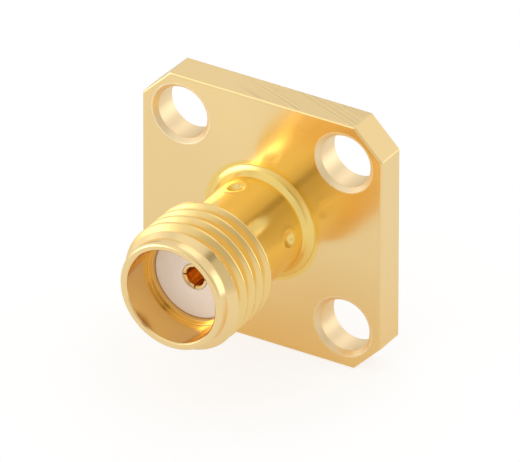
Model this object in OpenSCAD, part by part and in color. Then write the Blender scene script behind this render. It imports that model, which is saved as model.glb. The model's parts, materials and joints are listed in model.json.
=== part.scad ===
// Flange-mount coaxial panel socket with a quarter-inch coupling thread.
// All sizes are in millimetres. The flange's rear face lies in the plane y = 0,
// the connector's axis is the Y axis, and the mouth faces -Y.

/* [Flange] */
// Side of the square flange
flange_w = 12.7; // [11.8:0.1:14]
// Thickness of the flange
flange_t = 1.6; // [1.2:0.05:2.4]
// Leg of the 45 degree cut across each corner
corner_cut = 1.46; // [1:0.02:1.8]
// Width of the break along every edge of the flange
edge_break = 0.08; // [0.04:0.01:0.2]

/* [Fixing holes] */
// Distance from the flange's sides to the centre of each hole
hole_inset = 2.03; // [1.9:0.01:2.2]
// Diameter of each hole
hole_d = 2.6; // [2:0.05:2.8]
// Width of the bevel round both ends of each hole
hole_bevel = 0.2; // [0.05:0.01:0.3]

/* [Barrel] */
// Length from the flange's rear face to the mouth
body_len = 9.65; // [8.8:0.05:12]
// Diameter of the collar at the foot of the barrel
collar_d = 5.68; // [5.3:0.02:6.2]
// Height of the collar's outer edge above the flange
collar_h = 0.05; // [0.03:0.01:0.1]
// Rise of the collar's sloping top, up to the foot of the cone
collar_rise = 0.1; // [0.04:0.01:0.14]
// Height of the cone, from the collar's top up to the neck
cone_h = 0.28; // [0.15:0.01:0.6]
// Share of the step from neck to collar that the cone takes
cone_share = 0.43; // [0.3:0.01:0.6]
// Diameter of the neck behind the thread
neck_d = 4.84; // [4.7:0.02:5.2]

/* [Thread] */
// Diameter over the thread's crests
thread_d = 6.26; // [6.1:0.01:6.35]
// Distance from one crest to the next
thread_pitch = 0.7056; // [0.6:0.0001:0.8]
// Depth of the thread, from crest to root
thread_depth = 0.43; // [0.3:0.01:0.45]
// Distance from the mouth to the thread's first full diameter
thread_start = 1; // [0.8:0.05:1.3]
// Length of the thread at its full diameter
thread_len = 2.8; // [2.4:0.05:3.2]
// Length of the slope behind the thread, down to the neck
thread_runout = 0.35; // [0.1:0.05:0.6]

/* [Mouth] */
// Outer diameter of the plain nose in front of the thread
nose_d = 5.4; // [5.3:0.02:5.6]
// Diameter of the mouth
mouth_d = 4.66; // [4.58:0.01:4.75]
// Depth of the mouth, down to the contact shoulder
mouth_depth = 1.88; // [1.6:0.02:2.2]
// Rounding of the nose's outer rim
nose_round = 0.1; // [0.04:0.01:0.14]
// Bevel of the nose's inner rim
mouth_bevel = 0.06; // [0.02:0.01:0.1]

/* [Insulator] */
// Diameter of the bore that the insulator fills
bore_d = 4.2; // [3.9:0.02:4.3]
// How far the insulator's face lies behind the contact shoulder
insulator_recess = 0.26; // [0.1:0.02:0.5]
// Bevel round the insulator's front edge
insulator_bevel = 0.06; // [0.02:0.01:0.12]
// Clearance round the sprung fingers of the contact
finger_gap = 0.02; // [0.02:0.01:0.15]

/* [Stakes] */
// Number of punched stakes round the neck
stake_count = 4; // [2:1:6]
// Angle of the first stake, counted from +X towards +Z
stake_angle = 11; // [0:1:45]
// Distance from the flange's front face to the stakes
stake_offset = 1.55; // [1.2:0.05:2]
// Diameter of a stake's dent at the surface of the neck
stake_d = 0.86; // [0.6:0.02:1]
// Depth of a stake's dent
stake_depth = 0.25; // [0.1:0.01:0.3]
// Height of the bump that a stake raises inside the bore
stake_bump = 0.16; // [0.08:0.01:0.25]

/* [Contact] */
// Diameter of the centre contact
contact_d = 1.27; // [1.1:0.01:1.4]
// Diameter of the contact's socket
socket_d = 0.93; // [0.88:0.01:0.98]
// Depth of the socket
socket_depth = 2.6; // [2.4:0.05:3.2]
// Bevel at the socket's entry
socket_bevel = 0.04; // [0.02:0.01:0.08]
// Number of slots that part the sprung fingers
slot_count = 4; // [2:1:4]
// Width of each slot
slot_w = 0.08; // [0.06:0.01:0.2]
// Length of each slot
slot_len = 2; // [1.5:0.05:2.3]
// Diameter of the barb that locks the contact in the insulator
barb_d = 1.7; // [1.5:0.02:2]
// Length of the barb
barb_len = 0.6; // [0.4:0.05:1]
// Distance from the flange's rear face to the foot of the barb
barb_offset = 2.2; // [1.5:0.05:3]

/* [Solder cup] */
// Length of the contact behind the flange
cup_reach = 4.2; // [3:0.1:5]
// Diameter of the hole in the solder cup
cup_d = 0.9; // [0.7:0.02:1]
// Depth of the hole in the solder cup
cup_depth = 2; // [1.4:0.1:2.6]
// Length of the side opening of the solder cup
cup_open = 1.3; // [0.8:0.05:1.8]

/* [Hidden] */
$fn = 96;
eps = 0.01;
flank_run = thread_depth * tan(30);
crest_flat = thread_pitch / 8;
root_flat = thread_pitch - crest_flat - 2 * flank_run;
flange_front = flange_t;
hole_pitch = flange_w - 2 * hole_inset;
collar_front = flange_front + collar_h;
cone_foot = collar_front + collar_rise;
cone_front = cone_foot + cone_h;
thread_front = body_len - thread_start;
thread_back = thread_front - thread_len;
shoulder_at = body_len - mouth_depth;
face_at = shoulder_at - insulator_recess;
stake_at = flange_front + stake_offset;
nose_r = nose_d / 2;
thread_r = thread_d / 2;
root_r = thread_r - thread_depth;
neck_r = neck_d / 2;
collar_r = collar_d / 2;
cone_r = neck_r + (collar_r - neck_r) * cone_share;
bore_r = bore_d / 2;
mouth_r = mouth_d / 2;
contact_r = contact_d / 2;
socket_r = socket_d / 2;
barb_r = barb_d / 2;
// Grooves that fit between the lead-in bevel and the thread's last crest
first_groove = thread_front - thread_pitch / 4;
groove_room = first_groove - thread_back - crest_flat - flank_run;
groove_count = floor(groove_room / thread_pitch) + 1;

// Turns the local frame, with the axis along +Z, into the part's own frame.
module on_axis() {
    rotate([90, 0, 0]) children();
}

// A slab between two opposite faces of the flange, with its four edges broken.
module broken_slab(half_w) {
    b = edge_break;
    rotate([90, 0, 90])
        linear_extrude(height = 2 * flange_w, center = true)
            polygon([
                [-half_w + b, 0], [half_w - b, 0], [half_w, b], [half_w, flange_t - b],
                [half_w - b, flange_t], [-half_w + b, flange_t], [-half_w, flange_t - b], [-half_w, b]
            ]);
}

// The flange is the part that four such slabs share, turned in steps of 45 degrees.
module flange_plate() {
    side_half = flange_w / 2;
    corner_half = (flange_w - corner_cut) / sqrt(2);
    intersection_for(k = [0 : 3])
        rotate([0, 0, 45 * k]) broken_slab(k % 2 == 0 ? side_half : corner_half);
}

// One fixing hole, with a bevel at each face.
module fixing_hole() {
    r = hole_d / 2;
    translate([0, 0, -eps]) cylinder(h = flange_t + 2 * eps, r = r);
    translate([0, 0, -eps])
        cylinder(h = hole_bevel + eps, r1 = r + hole_bevel + eps, r2 = r);
    translate([0, 0, flange_t - hole_bevel])
        cylinder(h = hole_bevel + eps, r1 = r, r2 = r + hole_bevel + eps);
}

// The V of one turn of the thread, as points of the barrel's outline.
function groove(at) = [
    [thread_r, at - root_flat / 2 - flank_run],
    [root_r, at - root_flat / 2],
    [root_r, at + root_flat / 2],
    [thread_r, at + root_flat / 2 + flank_run]
];

// Half outline of the barrel, along its axis: collar, cone, neck, thread and nose.
module barrel_outline() {
    lead = thread_r - nose_r;
    difference() {
        union() {
            square([neck_r, body_len - nose_round]);
            polygon([
                [0, 0], [collar_r, 0], [collar_r, collar_front],
                [cone_r, cone_foot], [neck_r, cone_front], [0, cone_front]
            ]);
            polygon([
                [0, thread_back - thread_runout], [neck_r, thread_back - thread_runout],
                [thread_r, thread_back], [thread_r, thread_front],
                [nose_r, thread_front + lead], [nose_r, body_len - nose_round],
                [nose_r - nose_round, body_len], [0, body_len]
            ]);
            translate([nose_r - nose_round, body_len - nose_round]) circle(r = nose_round);
        }
        for (i = [0 : groove_count - 1])
            polygon(concat(
                [[thread_r + eps, first_groove - i * thread_pitch - root_flat / 2 - flank_run]],
                groove(first_groove - i * thread_pitch),
                [[thread_r + eps, first_groove - i * thread_pitch + root_flat / 2 + flank_run]]
            ));
    }
}

// The housing's bore: insulator bore, contact shoulder and mouth.
module bore_outline() {
    polygon([
        [0, -eps], [bore_r, -eps], [bore_r, shoulder_at], [mouth_r, shoulder_at],
        [mouth_r, body_len - mouth_bevel], [mouth_r + mouth_bevel + eps, body_len + eps], [0, body_len + eps]
    ]);
}

// Puts a child, drawn pointing inwards along -Z from the axis's distance zero, at each stake.
module at_stakes() {
    for (i = [0 : stake_count - 1])
        rotate([0, 0, stake_angle + 360 * i / stake_count])
            translate([0, 0, stake_at])
                rotate([0, 90, 0]) children();
}

// The dent that a punch leaves in the neck.
module stake_dent() {
    translate([0, 0, neck_r - stake_depth])
        cylinder(h = stake_depth + eps, r1 = stake_d / 8, r2 = stake_d / 2, $fn = 48);
}

// The bump that the same punch raises inside, which bites into the insulator.
module stake_bump_cone() {
    translate([0, 0, bore_r - stake_bump])
        cylinder(h = stake_bump + 0.1, r1 = stake_d / 10, r2 = stake_d / 2.5, $fn = 48);
}

// The bumps, cut to the curve of the bore.
module bumps() {
    intersection() {
        at_stakes() stake_bump_cone();
        cylinder(h = body_len, r = bore_r);
    }
}

// Turned, milled and staked in one piece.
module housing() {
    color("#E0B866") on_axis() {
        difference() {
            union() {
                flange_plate();
                rotate_extrude() barrel_outline();
            }
            rotate_extrude() bore_outline();
            for (x = [-1, 1], y = [-1, 1])
                translate([x * hole_pitch / 2, y * hole_pitch / 2, 0]) fixing_hole();
            at_stakes() stake_dent();
        }
        bumps();
    }
}

// The contact before it is drilled and slotted. It also shapes the insulator's bore.
module contact_blank() {
    rotate_extrude()
        polygon([
            [0, -cup_reach], [contact_r, -cup_reach], [contact_r, barb_offset],
            [barb_r, barb_offset], [contact_r, barb_offset + barb_len],
            [contact_r, face_at], [0, face_at]
        ]);
}

// A plain rod of dielectric, flush with the flange's rear face.
module insulator() {
    b = insulator_bevel;
    finger_room = socket_depth + finger_gap;
    color("#E6DAD2") on_axis()
        difference() {
            rotate_extrude()
                polygon([[0, 0], [bore_r, 0], [bore_r, face_at - b], [bore_r - b, face_at], [0, face_at]]);
            contact_blank();
            translate([0, 0, face_at - finger_room])
                cylinder(h = finger_room + eps, r = contact_r + finger_gap);
            bumps();
        }
}

// The socket's drilling, with its entry bevel.
module socket_drilling() {
    translate([0, 0, face_at - socket_depth]) cylinder(h = socket_depth + eps, r = socket_r);
    translate([0, 0, face_at - socket_bevel])
        cylinder(h = socket_bevel + eps, r1 = socket_r, r2 = socket_r + socket_bevel + eps);
}

// The slots part the socket's wall into sprung fingers.
module finger_slots() {
    for (i = [0 : slot_count - 1])
        rotate([0, 0, 360 * i / slot_count])
            translate([0, -slot_w / 2, face_at - slot_len])
                cube([contact_r + eps, slot_w, slot_len + eps]);
}

// The solder cup's drilling and its side opening.
module cup_drilling() {
    translate([0, 0, -cup_reach - eps]) cylinder(h = cup_depth + eps, r = cup_d / 2);
    translate([-contact_r - eps, cup_d / 8, -cup_reach - eps])
        cube([contact_d + 2 * eps, contact_r, cup_open + eps]);
}

// The centre contact, with a socket in front and a solder cup behind.
module contact() {
    color("#D9A94A") on_axis()
        difference() {
            contact_blank();
            socket_drilling();
            finger_slots();
            cup_drilling();
        }
}

housing();
insulator();
contact();
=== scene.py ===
# Looks for a gold-plated coaxial panel socket: a square flange, a threaded barrel,
# a white dielectric and a socket contact. Lengths are written in millimetres.
# The connector's axis is Y and the mouth faces -Y.
import json
import math

import bmesh
import bpy
import numpy as np
from mathutils import Matrix, Vector
from mathutils.geometry import delaunay_2d_cdt


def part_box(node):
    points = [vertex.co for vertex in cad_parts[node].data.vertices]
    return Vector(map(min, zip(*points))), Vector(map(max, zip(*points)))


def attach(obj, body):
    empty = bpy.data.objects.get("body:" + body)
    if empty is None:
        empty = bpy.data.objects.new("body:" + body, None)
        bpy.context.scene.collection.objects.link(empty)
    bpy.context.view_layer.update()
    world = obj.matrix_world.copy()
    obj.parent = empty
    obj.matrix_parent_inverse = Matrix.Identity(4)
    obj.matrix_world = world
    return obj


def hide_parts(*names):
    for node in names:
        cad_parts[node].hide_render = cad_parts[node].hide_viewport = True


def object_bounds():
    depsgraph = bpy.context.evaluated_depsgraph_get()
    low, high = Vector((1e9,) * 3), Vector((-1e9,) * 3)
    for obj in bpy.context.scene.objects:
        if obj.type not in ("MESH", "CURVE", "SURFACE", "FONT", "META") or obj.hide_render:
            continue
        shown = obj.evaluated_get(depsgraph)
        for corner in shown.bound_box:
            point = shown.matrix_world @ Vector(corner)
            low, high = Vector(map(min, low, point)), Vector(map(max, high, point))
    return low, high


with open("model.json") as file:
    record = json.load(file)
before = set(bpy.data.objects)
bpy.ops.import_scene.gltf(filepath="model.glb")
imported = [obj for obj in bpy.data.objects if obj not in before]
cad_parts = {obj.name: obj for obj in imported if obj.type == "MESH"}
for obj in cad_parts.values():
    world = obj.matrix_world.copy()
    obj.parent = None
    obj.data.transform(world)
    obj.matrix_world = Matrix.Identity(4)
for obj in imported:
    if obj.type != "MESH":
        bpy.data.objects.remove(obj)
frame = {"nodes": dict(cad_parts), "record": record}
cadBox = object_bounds()
print("frame loaded")

mm = 0.001  # one millimetre in Blender's metres
mounts = {m["name"]: m["dims"] for m in frame["record"]["mounts"]}
scene = bpy.context.scene
scene.view_settings.view_transform = "Standard"
scene.cycles.max_bounces = 16
scene.cycles.glossy_bounces = 12  # the socket and the thread are lit by many reflections


# A path through corner points with every corner rounded: each corner is (x, y, radius),
# and its arc runs between the two points where a circle of that radius touches both
# sides. A support point stands just outside each end of the arc, so that the flat
# stretches keep their true normals.
def roundedPath(corners, arcSteps=4, support=0.02, closed=False):
    out = []
    n = len(corners)
    for i, (x, y, radius) in enumerate(corners):
        p = np.array([x, y], float)
        if radius == 0 or (not closed and i in (0, n - 1)):
            out.append(p)
            continue
        a = np.array(corners[i - 1][:2], float) - p
        b = np.array(corners[(i + 1) % n][:2], float) - p
        a /= np.linalg.norm(a)
        b /= np.linalg.norm(b)
        half = 0.5 * math.acos(float(np.clip(a @ b, -1, 1)))
        run = radius / math.tan(half)
        centre = p + (a + b) / np.linalg.norm(a + b) * radius / math.sin(half)
        start, end = p + a * run - centre, p + b * run - centre
        sweep = math.pi - 2 * half
        out.append(p + a * (run + support))
        for k in range(arcSteps + 1):
            t = k / arcSteps
            spoke = math.sin((1 - t) * sweep) * start + math.sin(t * sweep) * end
            out.append(centre + spoke / math.sin(sweep))
        out.append(p + b * (run + support))
    return np.array(out)


# The same path with extra points, so that no stretch between low and high on its
# second coordinate is longer than step.
def refine(path, low, high, step):
    out = [path[:1]]
    for p, q in zip(path[:-1], path[1:]):
        length = np.linalg.norm(q - p)
        marks = [0.0, 1.0]
        if abs(q[1] - p[1]) > 1e-9:
            cuts = sorted((edge - p[1]) / (q[1] - p[1]) for edge in (low, high))
            marks = sorted({0.0, 1.0, *(c for c in cuts if 0 < c < 1)})
        for s, e in zip(marks[:-1], marks[1:]):
            middle = p[1] + (q[1] - p[1]) * (s + e) / 2
            count = max(1, math.ceil(length * (e - s) / step)) if low <= middle <= high else 1
            out.append(p + (q - p) * (s + (e - s) * np.arange(1, count + 1) / count)[:, None])
    return np.concatenate(out)


# A profile of radius and height turned about the connector's axis: each point (r, a)
# becomes a ring (x + r cos t, -a, z + r sin t). radius may be a whole grid, one row a ring.
def turned(radius, height, columns, x=0.0, z=0.0):
    angle = np.arange(columns) * 2 * np.pi / columns
    r = radius if radius.ndim == 2 else np.repeat(radius[:, None], columns, 1)
    a = np.repeat(height[:, None], columns, 1)
    points = np.stack([x + r * np.cos(angle), -a, z + r * np.sin(angle)], 2)
    return points, gridFaces(len(height), columns)


# Quads between neighbouring rings, each ring closed on itself.
def gridFaces(rows, columns):
    i, j = np.meshgrid(np.arange(rows - 1), np.arange(columns), indexing="ij")
    k = (j + 1) % columns
    quads = np.stack([i * columns + j, i * columns + k, (i + 1) * columns + k, (i + 1) * columns + j], 2)
    return quads.reshape(-1, 4)


# A flat face at one height between a closed outline and round holes. A hole's rim is a
# regular polygon whose first corner lies along X. Triangles are kept where their middle
# is outside every rim: a rim's side stands r cos(pi / n) from the hole's centre.
def flatFace(outline, holes, height):
    rings = [outline] + [h["points"] for h in holes]
    starts = np.cumsum([0] + [len(r) for r in rings])
    edges = [(s + k, s + (k + 1) % len(r)) for s, r in zip(starts, rings) for k in range(len(r))]
    flat = np.concatenate(rings)
    made = delaunay_2d_cdt([Vector(p) for p in flat.tolist()], edges, [], 1, 1e-7)
    points = np.array([tuple(p) for p in made[0]])
    faces = np.array([tuple(f) for f in made[2]])
    middle = points[faces].mean(1)
    keep = np.ones(len(faces), bool)
    for h in holes:
        x, z = middle[:, 0] - h["x"], middle[:, 1] - h["z"]
        half = np.pi / len(h["points"])
        away = np.hypot(x, z) * np.cos(np.arctan2(z, x) % (2 * half) - half)
        keep &= away > h["r"] * np.cos(half)
    solid = np.stack([points[:, 0], np.full(len(points), -height), points[:, 1]], 1)
    return solid, faces[keep]


# One closed mesh from several surfaces that share their borders: the borders are
# merged, faces turned outwards, and edges sharper than an angle stay crisp.
def joined(name, surfaces, materials, crisp=40):
    points, faces, slots, base = [], [], [], 0
    for p, f, slot in surfaces:
        p = p.reshape(-1, 3)
        points.append(p)
        faces += (f + base).tolist()
        slots += [slot] * len(f) if np.isscalar(slot) else list(slot)
        base += len(p)
    mesh = bpy.data.meshes.new(name)
    mesh.from_pydata((np.concatenate(points) * mm).tolist(), [], faces)
    mesh.polygons.foreach_set("material_index", np.array(slots, np.int32))
    for m in materials:
        mesh.materials.append(m)
    work = bmesh.new()
    work.from_mesh(mesh)
    bmesh.ops.remove_doubles(work, verts=work.verts, dist=0.0005 * mm)
    bmesh.ops.recalc_face_normals(work, faces=work.faces)
    openEdges = sum(1 for e in work.edges if len(e.link_faces) != 2)
    work.to_mesh(mesh)
    work.free()
    mesh.polygons.foreach_set("use_smooth", np.ones(len(mesh.polygons), bool))
    mesh.set_sharp_from_angle(angle=math.radians(crisp))
    piece = bpy.data.objects.new(name, mesh)
    scene.collection.objects.link(piece)
    triangles = sum(len(p.vertices) - 2 for p in mesh.polygons)
    print(name, "built:", triangles, "triangles,", openEdges, "open edges")
    return piece


# Adds a node and fills its sockets; a tuple (node, output) makes a link.
def node(tree, kind, settings=None, **sockets):
    made = tree.nodes.new(kind)
    for key, value in (settings or {}).items():
        setattr(made, key, value)
    for key, value in sockets.items():
        numbered = key[0] == "i" and key[1:].isdigit()
        socket = made.inputs[int(key[1:]) if numbered else key.replace("_", " ")]
        if isinstance(value, tuple) and len(value) == 2 and isinstance(value[0], bpy.types.Node):
            tree.links.new(value[0].outputs[value[1]], socket)
        else:
            socket.default_value = value
    return made


# A Math node with its values in order.
def maths(tree, operation, *values):
    sockets = {f"i{k}": value for k, value in enumerate(values)}
    return node(tree, "ShaderNodeMath", dict(operation=operation), **sockets)


# The distance from the connector's axis: the root of x squared plus z squared.
def axisDistance(tree, split):
    xx = maths(tree, "MULTIPLY", (split, "X"), (split, "X"))
    total = maths(tree, "MULTIPLY_ADD", (split, "Z"), (split, "Z"), (xx, 0))
    return maths(tree, "SQRT", (total, 0))


def newMaterial(name):
    material = bpy.data.materials.new(name)
    material.use_nodes = True
    tree = material.node_tree
    tree.nodes.clear()
    return material, tree


goldLook = dict(
    color=(0.985, 0.735, 0.355, 1),   # bright gold plate on the open faces
    # The neck, thread and bore colours are a deeper gold than the plate: painted shade of their recesses,
    # where gold is lit by gold.
    neckColor=(0.985, 0.715, 0.22, 1), threadColor=(0.985, 0.72, 0.29, 1),
    # The drilled holes' colour is a paler gold: painted reflection of the bright tent behind the flange.
    boreColor=(0.88, 0.59, 0.2, 1), drillColor=(0.99, 0.8, 0.5, 1),
    toneScale=0.42, toneSpread=(0.9, 1.12),   # patches of finer and coarser plate
    flangeRoughness=0.17, flangeStretch=0.85,
    barrelRoughness=0.17, barrelStretch=0.4,
    threadRoughness=0.2, boreRoughness=0.15, drillRoughness=0.44, edgeRoughness=0.22,
)


# Turned gold: the cutter's rings run round the axis, so the plate is smoother along a
# ring than across it. The direction across is the normal crossed with the ring's own
# direction, which is the place crossed with the axis. Fine rings tilt the normal a little.
def turnedGold(name, roughness, stretch, ringSize, ringHeight, color=goldLook["color"]):
    material, tree = newMaterial(name)
    place = node(tree, "ShaderNodeTexCoord")
    normal = node(tree, "ShaderNodeNewGeometry")
    cross = dict(operation="CROSS_PRODUCT")
    ring = node(tree, "ShaderNodeVectorMath", cross, i0=(place, "Object"), i1=(0, 1, 0))
    across = node(tree, "ShaderNodeVectorMath", cross, i0=(normal, "Normal"), i1=(ring, 0))
    split = node(tree, "ShaderNodeSeparateXYZ", i0=(place, "Object"))
    along = node(tree, "ShaderNodeCombineXYZ", i0=(axisDistance(tree, split), 0), i1=(split, "Y"))
    rings = node(tree, "ShaderNodeTexNoise", dict(noise_dimensions="2D"), Vector=(along, 0),
                 Scale=1 / (ringSize * mm), Detail=2.0, Roughness=0.6)
    bump = node(tree, "ShaderNodeBump", Height=(rings, 0), Strength=1.0, Distance=ringHeight * mm)
    tone = node(tree, "ShaderNodeTexNoise", Vector=(place, "Object"),
                Scale=goldLook["toneScale"] / mm, Detail=3.0)
    low, high = goldLook["toneSpread"]
    rough = node(tree, "ShaderNodeMapRange", Value=(tone, 0),
                 To_Min=roughness * low, To_Max=roughness * high)
    shader = node(tree, "ShaderNodeBsdfPrincipled", Base_Color=color, Metallic=1.0,
                  Roughness=(rough, 0), Anisotropic=stretch, Tangent=(across, 0), Normal=(bump, 0))
    node(tree, "ShaderNodeOutputMaterial", Surface=(shader, 0))
    return material


edgeMarks = dict(
    lean=2.6,                         # slant of the streaks on the top and bottom
    topScale=2.2, sideScale=9.0,      # streaks per millimetre
    topHeight=0.075, sideHeight=0.01,
    fadeFrom=-3.5, fadeTo=1.5, faded=0.25,  # the top's streaks are faint towards -X
)


# Milled gold on the flange's sides: streaks left by the cutter. A streak is noise along
# one slanting coordinate, u = x + lean y, on the top and bottom, and u = y on the sides.
def milledGold(name):
    m = edgeMarks
    material, tree = newMaterial(name)
    place = node(tree, "ShaderNodeTexCoord")
    normal = node(tree, "ShaderNodeNewGeometry")
    split = node(tree, "ShaderNodeSeparateXYZ", i0=(place, "Object"))
    facing = node(tree, "ShaderNodeSeparateXYZ", i0=(normal, "Normal"))
    level = maths(tree, "ABSOLUTE", (facing, "Z"))
    flatTop = maths(tree, "GREATER_THAN", (level, 0), 0.9)
    lean = maths(tree, "MULTIPLY_ADD", (split, "Y"), m["lean"], (split, "X"))
    slanted = node(tree, "ShaderNodeTexNoise", dict(noise_dimensions="1D"), W=(lean, 0),
                   Scale=m["topScale"] / mm, Detail=3.0, Roughness=0.65)
    straight = node(tree, "ShaderNodeTexNoise", dict(noise_dimensions="1D"), W=(split, "Y"),
                    Scale=m["sideScale"] / mm, Detail=2.0, Roughness=0.6)
    fade = node(tree, "ShaderNodeMapRange", dict(interpolation_type="SMOOTHSTEP"), Value=(split, "X"),
                From_Min=m["fadeFrom"] * mm, From_Max=m["fadeTo"] * mm,
                To_Min=m["topHeight"] * m["faded"], To_Max=m["topHeight"])
    topHeight = maths(tree, "MULTIPLY", (slanted, 0), (fade, 0))
    sideHeight = maths(tree, "MULTIPLY", (straight, 0), m["sideHeight"])
    height = node(tree, "ShaderNodeMix", dict(data_type="FLOAT"), Factor=(flatTop, 0),
                  A=(sideHeight, 0), B=(topHeight, 0))
    bump = node(tree, "ShaderNodeBump", Height=(height, 0), Strength=1.0, Distance=mm)
    shader = node(tree, "ShaderNodeBsdfPrincipled", Base_Color=goldLook["color"], Metallic=1.0,
                  Roughness=goldLook["edgeRoughness"], Normal=(bump, 0))
    node(tree, "ShaderNodeOutputMaterial", Surface=(shader, 0))
    return material


g = goldLook
faceGold = turnedGold("faced gold plate", g["flangeRoughness"], g["flangeStretch"], 0.09, 0.0006)
barrelGold = turnedGold("turned gold plate", g["barrelRoughness"], g["barrelStretch"], 0.12, 0.0008)
# The neck, thread and bore plates carry the deeper gold: painted shade of the recesses.
neckGoldPaintedShade = turnedGold("neck gold plate", g["barrelRoughness"], g["barrelStretch"], 0.12, 0.0008,
                      g["neckColor"])
threadGoldPaintedShade = turnedGold("threaded gold plate", g["threadRoughness"], 0.3, 0.1, 0.0008, g["threadColor"])
boreGoldPaintedShade = turnedGold("bored gold plate", g["boreRoughness"], 0.4, 0.1, 0.0008, g["boreColor"])
# The drilled plate has the paler gold: painted reflection of the bright tent behind.
drillGoldPaintedLight = turnedGold("drilled gold plate", g["drillRoughness"], 0.0, 0.1, 0.0008, g["drillColor"])
edgeGold = milledGold("milled gold plate")
print("gold plate ready")

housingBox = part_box("housing")
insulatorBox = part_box("insulator")
flange = dict(
    half=housingBox[1][0] / mm,                # half the side of the square
    thick=1.6, cut=1.46, edge=0.08,            # thickness, corner cut, edge rounding
    cornerRound=0.05,                          # rounding between neighbouring sides
    pitch=mounts["flange_bolts"]["spacing_x_mm"],
    holeR=mounts["flange_bolts"]["hole_r_mm"], bevel=0.2, holeColumns=64,
)
barrel = dict(
    columns=288,
    mouthAt=-housingBox[0][1] / mm,            # height of the mouth above the rear face
    collarR=2.84, collarAt=1.645,              # a low collar with a sloping top
    coneR=2.6, coneAt=1.745, coneTop=2.03,     # and a steep cone from it to the neck
    neckR=2.42, noseR=2.7, noseRound=0.14,
    mouthR=mounts["mouth"]["r_mm"], mouthDepth=1.88, mouthBevel=0.06,
    boreR=insulatorBox[1][0] / mm,
)
thread = dict(
    crestR=mounts["coupling_thread"]["r_mm"], pitch=0.7056, depth=0.43,
    front=8.65, back=5.85, runout=0.35,
    crestAt=8.072, crestAngle=0.0,             # a crest's height at that angle in degrees
    soft=0.03,                                 # rounding of crests and roots
    step=0.0225,                               # spacing of the mesh rows
)
stakes = dict(
    angles=[11, 101, 191, 281], height=3.15, r=0.38, depth=0.2,
    rimR=0.52, rimWidth=0.13, rimHeight=0.03, rows=0.04,
)


# The octagon of the flange, moved inwards by inset: a side at half, a cut corner whose
# ends lie one cut from the square's corner, and a small arc between neighbours.
def flangeRing(inset):
    half = flange["half"] - inset
    slant = 2 * flange["half"] - flange["cut"] - inset * math.sqrt(2)
    near = slant - half
    turns = [(half, near), (near, half)]
    corners = []
    for k in range(4):
        c, s = round(math.cos(k * math.pi / 2)), round(math.sin(k * math.pi / 2))
        corners += [(c * x - s * z, s * x + c * z, flange["cornerRound"]) for x, z in turns]
    return roundedPath(corners, 3, 0.03, closed=True)


# The thread's radius: a wave of height over pitch that climbs one pitch a turn, with
# 60 degree flanks, a flat crest of an eighth of the pitch, and softened corners.
def threadRadius(height, angle):
    pitch, depth = thread["pitch"], thread["depth"]
    phase = height - thread["crestAt"] - pitch * (angle - math.radians(thread["crestAngle"])) / (2 * np.pi)
    away = np.abs((phase / pitch + 0.5) % 1.0 - 0.5) * pitch
    flank = thread["crestR"] - (away - pitch / 16) / math.tan(math.radians(30))
    root = thread["crestR"] - depth
    return softMax(softMin(flank, thread["crestR"], thread["soft"]), root, thread["soft"])


# The smaller of two values, with the corner between them rounded over a width.
def softMin(a, b, width):
    gap = np.clip(0.5 + 0.5 * (b - a) / width, 0, 1)
    return a * gap + b * (1 - gap) - width * gap * (1 - gap)


def softMax(a, b, width):
    return -softMin(-a, -b, width)


# How far a punch moved the neck's surface: a bowl, its depth falling as the square of
# the distance from its centre, and a low rim of metal raised round it.
def stakeShift(height, angle, radius):
    shift = np.zeros(np.broadcast(height, angle).shape)
    for degrees in stakes["angles"]:
        turn = (angle - math.radians(degrees) + np.pi) % (2 * np.pi) - np.pi
        far = np.hypot(turn * radius, height - stakes["height"])
        bowl = -stakes["depth"] * np.clip(1 - (far / stakes["r"]) ** 2, 0, 1)
        rim = stakes["rimHeight"] * np.exp(-((far - stakes["rimR"]) / stakes["rimWidth"]) ** 2)
        shift += bowl + rim
    return shift


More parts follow.
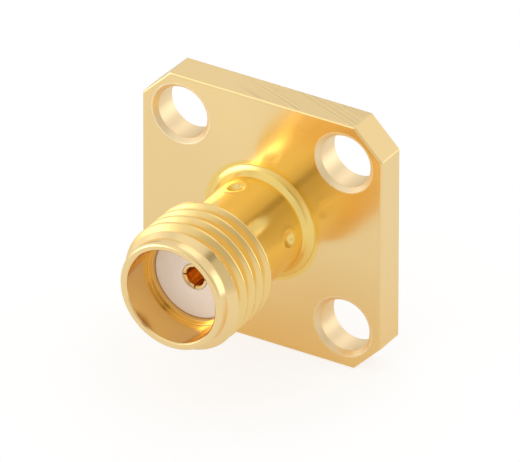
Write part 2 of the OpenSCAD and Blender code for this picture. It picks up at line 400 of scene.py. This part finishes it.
def makeHousing():
    b, t = barrel, thread
    top, shoulder = b["mouthAt"], b["mouthAt"] - b["mouthDepth"]
    neckEnd = t["back"] - t["runout"]
    path = roundedPath([
        (b["collarR"] + 0.2, flange["thick"], 0),
        (b["collarR"], flange["thick"], 0.015),
        (b["collarR"], b["collarAt"], 0.04),
        (b["coneR"], b["coneAt"], 0.25),
        (b["neckR"], b["coneTop"], 0.04),
        (b["neckR"], neckEnd, 0.12),
        (t["crestR"], t["back"], 0.04),
        (t["crestR"], t["front"], 0.02),
        (b["noseR"], t["front"] + t["crestR"] - b["noseR"], 0.03),
        (b["noseR"], top, b["noseRound"]),
        (b["mouthR"] + b["mouthBevel"], top, 0.02),
        (b["mouthR"], top - b["mouthBevel"], 0.02),
        (b["mouthR"], shoulder, 0.03),
        (b["boreR"], shoulder, 0.02),
        (b["boreR"], 0, 0),
        (b["boreR"] + 0.1, 0, 0),
    ])
    mouthRow = int(np.argmax(path[:, 1] > top - 1e-6))
    outer, inner = path[:mouthRow], path[mouthRow:]
    outer = refine(outer, neckEnd + 0.1, t["front"] + 0.46, t["step"])
    outer = refine(outer, stakes["height"] - 0.7, stakes["height"] + 0.7, stakes["rows"])
    path = np.concatenate([outer, inner])
    radius, height = path[:, 0], path[:, 1]
    angle = np.arange(b["columns"]) * 2 * np.pi / b["columns"]
    grid = np.repeat(radius[:, None], b["columns"], 1)
    rows = np.arange(len(path)) < len(outer)
    threaded = rows & (height > neckEnd) & (height < t["front"] + 0.6)
    cut = threadRadius(height[threaded][:, None], angle[None, :])
    grid[threaded] = np.where(grid[threaded] > t["crestR"] - t["depth"] - 0.02,
                              softMin(grid[threaded], cut, t["soft"]), grid[threaded])
    staked = rows & (np.abs(radius - b["neckR"]) < 0.001)
    grid[staked] += stakeShift(height[staked][:, None], angle[None, :], b["neckR"])
    points, faces = turned(grid, height, b["columns"])
    firstThread = int(np.argmax(threaded & (radius > b["neckR"] + 0.1)))
    lastThread = int(np.nonzero(threaded & (height < t["front"] + 0.03))[0][-1])
    row = np.arange(len(faces)) // b["columns"]
    mouthWall = int(np.argmax((radius < b["mouthR"] + 0.01) & ~rows))
    slots = np.select([row < firstThread, row < lastThread, row < mouthWall], [6, 2, 1], 3)
    surfaces = [(points, faces, slots)]

    e = flange["edge"]
    rim = roundedPath([
        (e + 0.1, 0, 0), (0, 0, e), (0, flange["thick"], e), (e + 0.1, flange["thick"], 0),
    ], 5)
    rings = np.stack([flangeRing(inset) for inset in rim[:, 0]])
    sides = np.stack([rings[:, :, 0], np.repeat(-rim[:, 1:], rings.shape[1], 1), rings[:, :, 1]], 2)
    surfaces.append((sides, gridFaces(len(rim), rings.shape[1]), 4))

    r, bevel = flange["holeR"], flange["bevel"]
    wall = roundedPath([
        (r + bevel + 0.06, flange["thick"], 0), (r + bevel, flange["thick"], 0.03),
        (r, flange["thick"] - bevel, 0.04), (r, bevel, 0.04),
        (r + bevel, 0, 0.03), (r + bevel + 0.06, 0, 0),
    ], 3)
    places = [(sx * flange["pitch"] / 2, sz * flange["pitch"] / 2) for sx in (-1, 1) for sz in (-1, 1)]
    holes = []
    for x, z in places:
        hole, holeFaces = turned(wall[:, 0], wall[:, 1], flange["holeColumns"], x, z)
        surfaces.append((hole, holeFaces, 5))
        holes.append(dict(x=x, z=z, r=wall[0, 0], points=hole[0][:, [0, 2]]))
    foot = dict(x=0, z=0, r=radius[0], points=points[0][:, [0, 2]])
    bore = dict(x=0, z=0, r=radius[-1], points=points[-1][:, [0, 2]])
    surfaces.append((*flatFace(rings[-1], holes + [foot], flange["thick"]), 0))
    surfaces.append((*flatFace(rings[0], holes + [bore], 0.0), 0))
    plates = [faceGold, barrelGold, threadGoldPaintedShade, boreGoldPaintedShade, edgeGold, drillGoldPaintedLight, neckGoldPaintedShade]
    return joined("gold_housing", surfaces, plates)


housing = makeHousing()
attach(housing, "root")
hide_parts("housing")

dielectricLook = dict(
    color=(0.95, 0.85, 0.78, 1), cloudColor=(0.93, 0.82, 0.74, 1), cloudScale=0.9,
    roughness=0.42, ringScale=12.0, ringHeight=0.004,
    glow=0.25, glowColor=(1.0, 0.85, 0.75), glowDepth=0.25,
)


# Waxy white fluoroplastic: light goes a little way into it, and faint rings of the
# facing cut show on its end.
def waxyWhite(name):
    look = dielectricLook
    material, tree = newMaterial(name)
    place = node(tree, "ShaderNodeTexCoord")
    cloud = node(tree, "ShaderNodeTexNoise", Vector=(place, "Object"),
                 Scale=look["cloudScale"] / mm, Detail=3.0)
    color = node(tree, "ShaderNodeMix", dict(data_type="RGBA"), Factor=(cloud, 0),
                 i6=look["cloudColor"], i7=look["color"])
    split = node(tree, "ShaderNodeSeparateXYZ", i0=(place, "Object"))
    rings = node(tree, "ShaderNodeTexNoise", dict(noise_dimensions="1D"), W=(axisDistance(tree, split), 0),
                 Scale=look["ringScale"] / mm, Detail=2.0)
    bump = node(tree, "ShaderNodeBump", Height=(rings, 0), Strength=1.0, Distance=look["ringHeight"] * mm)
    shader = node(tree, "ShaderNodeBsdfPrincipled", Base_Color=(color, 2), Roughness=look["roughness"],
                  Normal=(bump, 0), IOR=1.36, Subsurface_Weight=look["glow"],
                  Subsurface_Radius=look["glowColor"], Subsurface_Scale=look["glowDepth"] * mm)
    node(tree, "ShaderNodeOutputMaterial", Surface=(shader, 0))
    return material


insulatorShape = dict(
    columns=160, faceAt=-insulatorBox[0][1] / mm, r=insulatorBox[1][0] / mm, bevel=0.06,
    contactR=0.635, room=0.02, roomDepth=2.62, barbR=0.85, barbAt=2.2, barbLen=0.6,
)


def makeInsulator():
    s = insulatorShape
    wide, deep = s["contactR"] + s["room"], s["faceAt"] - s["roomDepth"]
    corners = [
        (wide, s["faceAt"], 0.01), (s["r"], s["faceAt"], s["bevel"]),
        (s["r"], 0, 0.02), (s["contactR"], 0, 0.02),
        (s["contactR"], s["barbAt"], 0), (s["barbR"], s["barbAt"], 0),
        (s["contactR"], s["barbAt"] + s["barbLen"], 0),
        (s["contactR"], deep, 0), (wide, deep, 0),
    ]
    path = roundedPath(corners, 4, 0.015, closed=True)
    path = np.concatenate([path, path[:1]])
    points, faces = turned(path[:, 0], path[:, 1], s["columns"])
    return joined("white_dielectric", [(points, faces, 0)], [waxyWhite("waxy white dielectric")])


insulator = makeInsulator()
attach(insulator, "root")
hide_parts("insulator")

# The contact keeps its own solid and only gets its plate.
contactGold = turnedGold("contact gold plate", 0.2, 0.2, 0.1, 0.0006)
contact = frame["nodes"]["contact"]
contact.data.materials.clear()
contact.data.materials.append(contactGold)
print("contact dressed")

studio = dict(
    level=0.82,              # the tent's brightness as metal and dielectric see it
    darkest=0.03,
    warmBelow=(0.3, 0.78),   # the tent turns from warm to white between these
    floorColor=(0.9, 0.9, 0.9, 1), floorRadius=45, floorGap=0.02, floorCorners=96,
    floorShadow=0.35,        # how much of the shadow the camera sees
    floorLit=0.74,           # the open floor's own brightness
    floorGlow=0.4,           # how far metal sees the floor as plain white
    # painted light and shade on the floor beside the plate, as metal sees it: the plate's own warm light
    # there, which fades slower along the flange
    warmReach=11.5, warmColor=(1.0, 0.72, 0.36, 1), warmShape=(0.6, 1, 0),
)
# Brighter and darker parts of the tent: azimuth, elevation, outer radius and core
# radius in degrees, gain.
tentParts = [
    (29.0, 38.0, 9.0, 3.0, -0.42),    # the opening that the picture is taken through
    (46.0, 14.0, 34.0, 5.0, -0.17),   # the darker side of that opening
    (14.0, 20.0, 30.0, 5.0, -0.24),
    (-43.0, -6.0, 24.0, 8.0, 1.4),    # the main light and its glow on the left
    (-55.0, 14.0, 30.0, 5.0, 0.42),
    (-95.0, 0.0, 50.0, 10.0, 0.15),
    (-30.0, 52.0, 36.0, 5.0, 0.09),
    (-62.0, 36.0, 22.0, 5.0, -0.14),
    (139.0, 2.0, 26.0, 5.0, 0.78),    # two lights behind
    (-176.0, 43.0, 21.0, 5.0, 0.44),
    (145.0, -20.0, 14.0, 4.0, 0.2),
    (-140.0, -8.0, 27.0, 5.0, -0.34),  # a seam behind on the left
]
warmth = (1.0, 0.9, 0.68, 1)  # tint of the tent's darkest parts
# Azimuth, elevation, width and height in degrees, radiance, and whether metal mirrors it.
softboxes = [
    (-42.0, 4.0, 16.0, 20.0, 0.8, True),
    (4.0, 8.0, 32.0, 32.0, 1.9, False),   # a soft fill for the white dielectric
]


# The unit direction seen at an azimuth and elevation: 0 is -Y and 90 is +X.
def towards(azimuth, elevation):
    a, e = math.radians(azimuth), math.radians(elevation)
    return Vector((math.sin(a) * math.cos(e), -math.cos(a) * math.cos(e), math.sin(e)))


# The tent is a level plus smooth round patches: each patch's gain is multiplied by a
# smooth step of the cosine between the ray and the patch's centre.
def makeTent():
    world = bpy.data.worlds.new("light tent")
    scene.world = world
    world.use_nodes = True
    tree = world.node_tree
    tree.nodes.clear()
    place = node(tree, "ShaderNodeTexCoord")
    smooth = dict(interpolation_type="SMOOTHSTEP")
    total = None
    for azimuth, elevation, radius, core, gain in tentParts:
        nearness = node(tree, "ShaderNodeVectorMath", dict(operation="DOT_PRODUCT"),
                        i0=(place, "Generated"), i1=towards(azimuth, elevation))
        patch = node(tree, "ShaderNodeMapRange", smooth, Value=(nearness, "Value"),
                     From_Min=math.cos(math.radians(radius)), From_Max=math.cos(math.radians(core)),
                     To_Min=0.0, To_Max=gain)
        before = studio["level"] if total is None else (total, 0)
        total = maths(tree, "ADD", before, (patch, 0))
    total = maths(tree, "MAXIMUM", (total, 0), studio["darkest"])
    dim = node(tree, "ShaderNodeMapRange", Value=(total, 0),
               From_Min=studio["warmBelow"][0], From_Max=studio["warmBelow"][1])
    tint = node(tree, "ShaderNodeMix", dict(data_type="RGBA"), i0=(dim, 0), i6=warmth, i7=(1, 1, 1, 1))
    lit = node(tree, "ShaderNodeBackground", Color=(tint, 2), Strength=(total, 0))
    white = node(tree, "ShaderNodeBackground", Color=(1, 1, 1, 1), Strength=1.0)
    path = node(tree, "ShaderNodeLightPath")
    shown = node(tree, "ShaderNodeMixShader", i0=(path, "Is Camera Ray"), i1=(lit, 0), i2=(white, 0))
    node(tree, "ShaderNodeOutputWorld", Surface=(shown, 0))


# An area lamp that looks at the connector: its power is radiance times area times pi.
def makeSoftbox(azimuth, elevation, width, height, radiance, mirrored, distance=0.5):
    lamp = bpy.data.lights.new("softbox", "AREA")
    lamp.shape = "RECTANGLE"
    lamp.size = 2 * distance * math.tan(math.radians(width / 2))
    lamp.size_y = 2 * distance * math.tan(math.radians(height / 2))
    lamp.energy = radiance * math.pi * lamp.size * lamp.size_y
    box = bpy.data.objects.new("softbox", lamp)
    away = towards(azimuth, elevation)
    box.location = away * distance
    box.rotation_euler = away.to_track_quat("Z", "Y").to_euler()
    box.visible_glossy = mirrored
    scene.collection.objects.link(box)


# A pale round floor under the flange. The camera sees it as white with a light shadow,
# and metal sees it part white. The white is set so that open floor comes out at 1.
def makeFloor():
    low = cadBox[0][2] - studio["floorGap"] * mm
    corners = studio["floorCorners"]
    turn = np.arange(corners) * 2 * np.pi / corners
    reach = studio["floorRadius"] * mm
    rim = np.stack([reach * np.cos(turn), reach * np.sin(turn), np.full(corners, low)], 1)
    mesh = bpy.data.meshes.new("floor")
    mesh.from_pydata(rim.tolist(), [], [tuple(range(corners))])
    floor = bpy.data.objects.new("floor", mesh)
    scene.collection.objects.link(floor)
    material, tree = newMaterial("pale floor")
    path = node(tree, "ShaderNodeLightPath")
    seen = maths(tree, "MULTIPLY", (path, "Is Camera Ray"), 1 - studio["floorShadow"])
    share = maths(tree, "MULTIPLY_ADD", (path, "Is Glossy Ray"), studio["floorGlow"], (seen, 0))
    lit = node(tree, "ShaderNodeBsdfDiffuse", Color=studio["floorColor"])
    fill = 1 + (1 - studio["floorLit"]) * studio["floorShadow"] / (1 - studio["floorShadow"])
    strength = node(tree, "ShaderNodeMapRange", Value=(path, "Is Camera Ray"),
                    To_Min=studio["floorColor"][0], To_Max=fill)
    # Painted light and shade: metal sees the floor near the flange tinted a warmer, darker gold.
    place = node(tree, "ShaderNodeTexCoord")
    aside = node(tree, "ShaderNodeVectorMath", dict(operation="MULTIPLY"),
                 i0=(place, "Object"), i1=studio["warmShape"])
    far = node(tree, "ShaderNodeVectorMath", dict(operation="LENGTH"), i0=(aside, 0))
    near = node(tree, "ShaderNodeMapRange", dict(interpolation_type="SMOOTHSTEP"), Value=(far, "Value"),
                From_Min=0.0, From_Max=studio["warmReach"] * mm, To_Min=1.0, To_Max=0.0)
    near = maths(tree, "MULTIPLY", (near, 0), (path, "Is Glossy Ray"))
    tint = node(tree, "ShaderNodeMix", dict(data_type="RGBA"), i0=(near, 0),
                i6=(1, 1, 1, 1), i7=studio["warmColor"])
    white = node(tree, "ShaderNodeEmission", Color=(tint, 2), Strength=(strength, 0))
    shown = node(tree, "ShaderNodeMixShader", i0=(share, 0), i1=(lit, 0), i2=(white, 0))
    node(tree, "ShaderNodeOutputMaterial", Surface=(shown, 0))
    mesh.materials.append(material)


makeTent()
for box in softboxes:
    makeSoftbox(*box)
makeFloor()
print("studio lit")

shot = dict(
    azimuth=30.861, elevation=30.401, roll=0.136,    # degrees
    distance=868.4, target=(0.748, -3.0, 0.371),     # millimetres
    lens=1321.2, sensor=36,
)


def makeCamera():
    data = bpy.data.cameras.new("camera")
    data.sensor_width = shot["sensor"]
    data.lens = shot["lens"]
    away = towards(shot["azimuth"], shot["elevation"])
    side = Vector((0, 0, 1)).cross(away).normalized()
    up = away.cross(side)
    c, s = math.cos(math.radians(shot["roll"])), math.sin(math.radians(shot["roll"]))
    turn = Matrix((side * c + up * s, up * c - side * s, away)).transposed()
    camera = bpy.data.objects.new("camera", data)
    place = (Vector(shot["target"]) + away * shot["distance"]) * mm
    camera.matrix_world = Matrix.Translation(place) @ turn.to_4x4()
    scene.collection.objects.link(camera)
    scene.camera = camera


makeCamera()
